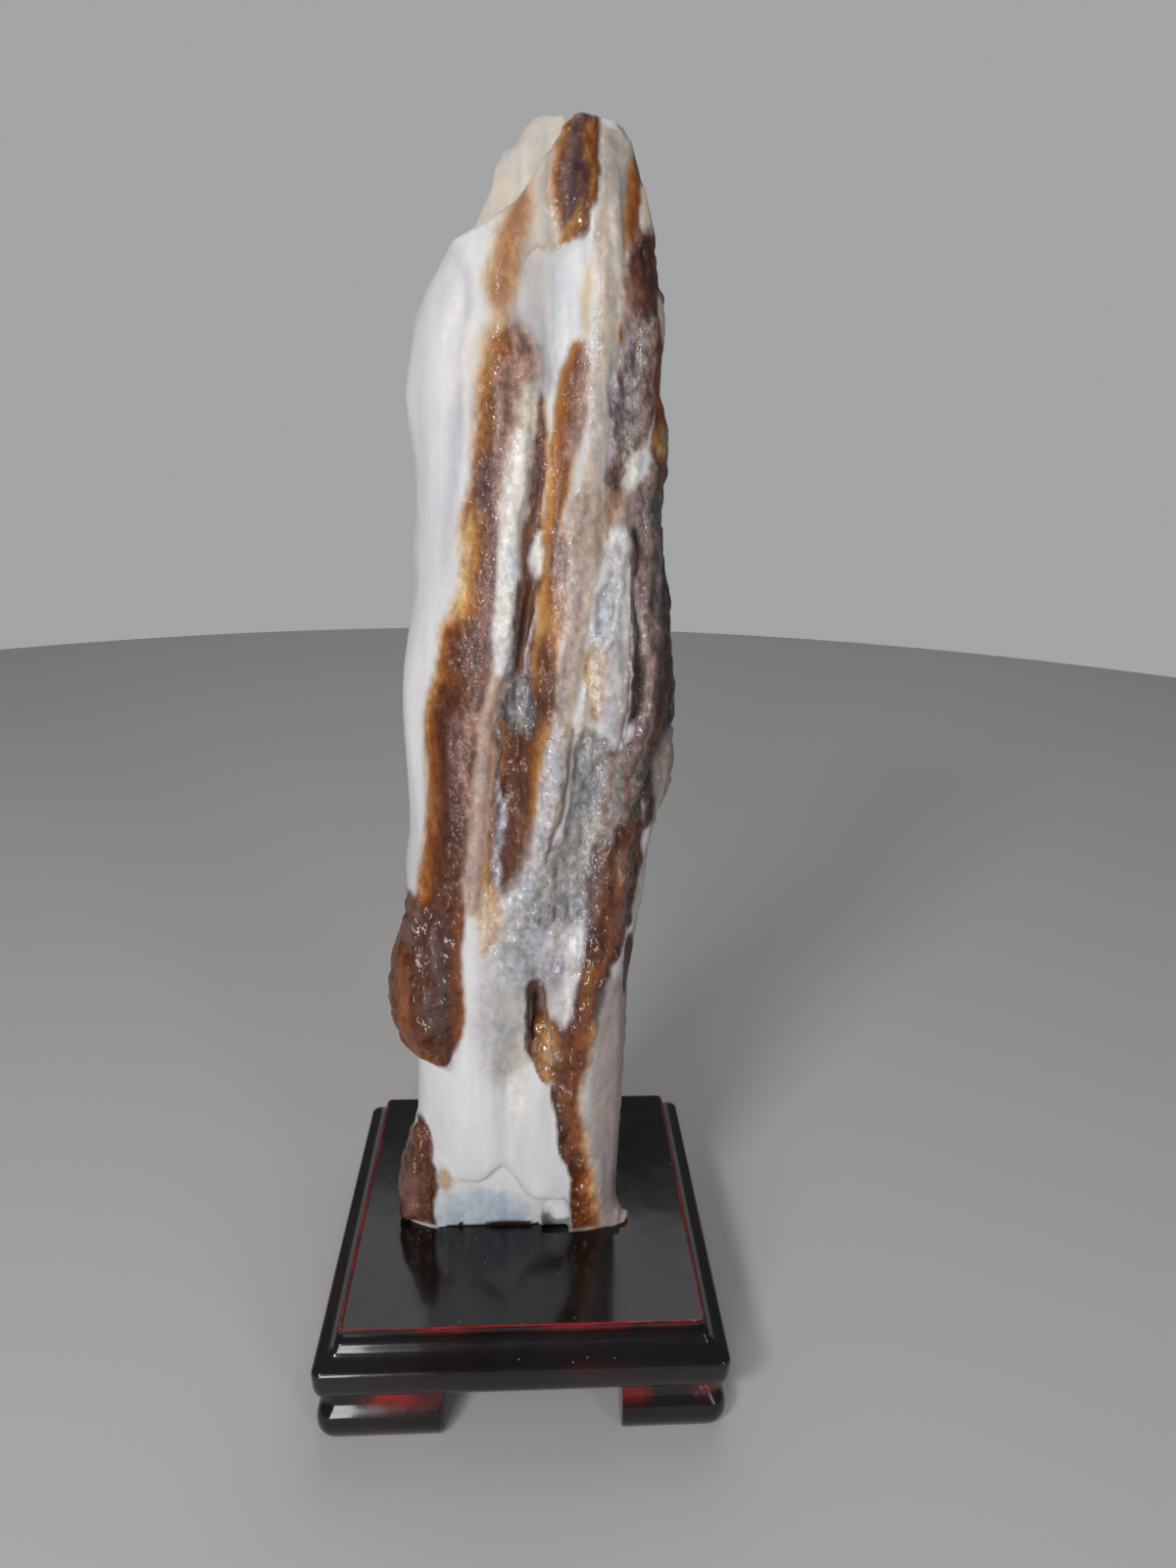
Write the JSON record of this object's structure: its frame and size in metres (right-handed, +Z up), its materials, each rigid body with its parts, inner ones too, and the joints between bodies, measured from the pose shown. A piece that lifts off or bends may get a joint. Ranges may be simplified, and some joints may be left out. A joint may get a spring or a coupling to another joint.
{
  "type": "opalized petrified wood on a stand",
  "caption": "Upright splinter of opalized petrified wood, white with brown bands, resting in the socket of a square lacquered wooden stand on bracket feet.",
  "frame": {"origin": "centre of the stand's footprint, on the surface it stands on", "axes": "+Z up along the stone, +X to the right of the face to look at, -Y out of that face"},
  "size_m": [0.102, 0.102, 0.296],
  "materials": {
    "opal": "white common opal and chalcedony with honey to dark brown sugary bands, opaque, waxy to glossy",
    "lacquer": "high-gloss black lacquer over dark red on carved wood"
  },
  "bodies": {
    "root": {"petrified_wood": "opal", "stand_board": "lacquer", "foot_front_left": "lacquer", "foot_front_right": "lacquer", "foot_rear_left": "lacquer", "foot_rear_right": "lacquer"}
  },
  "joints": []
}
